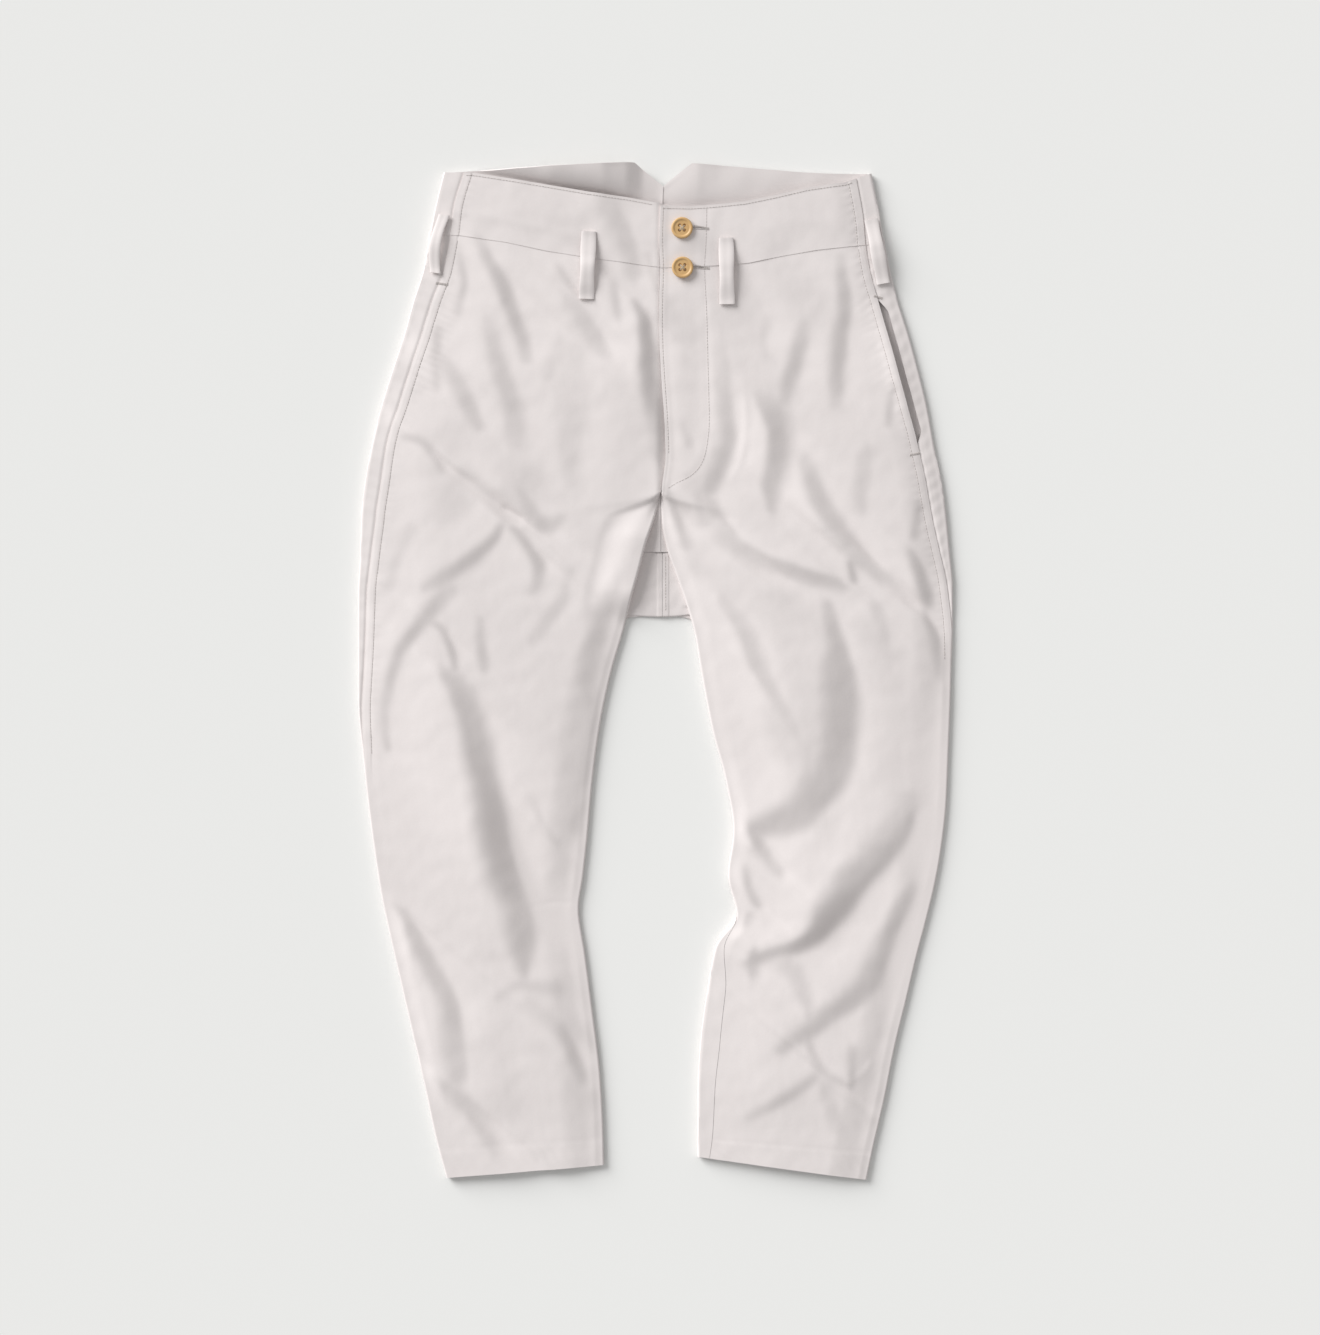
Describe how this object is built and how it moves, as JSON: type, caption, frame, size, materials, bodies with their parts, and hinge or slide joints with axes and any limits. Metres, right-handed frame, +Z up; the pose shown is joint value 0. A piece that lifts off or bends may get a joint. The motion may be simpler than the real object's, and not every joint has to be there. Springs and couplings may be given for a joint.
{
  "type": "peg-top trousers",
  "caption": "High-waisted cotton peg-top trousers laid flat, full at the hip and tapering to the hem, with a buttoned waistband, a fly, belt loops and side pockets.",
  "frame": {"origin": "centre of the laid-out garment's outline, on the surface it lies on", "axes": "+Y from the hems to the waist, +Z up out of the trousers' front, +X towards the wearer's left leg"},
  "size_m": [0.5664, 0.9656, 0.0215],
  "materials": {
    "cloth": "off-white brushed cotton twill, soft and matt",
    "button": "ochre wood or horn, satin"
  },
  "bodies": {
    "root": {"front_right": "cloth", "front_left": "cloth", "back_right": "cloth", "back_left": "cloth", "waistband_front_right": "cloth", "waistband_front_left": "cloth", "waistband_back_right": "cloth", "waistband_back_left": "cloth", "belt_loop_front_right": "cloth", "belt_loop_front_left": "cloth", "belt_loop_side_right": "cloth", "belt_loop_side_left": "cloth", "button_upper": "button", "button_lower": "button"}
  },
  "joints": []
}
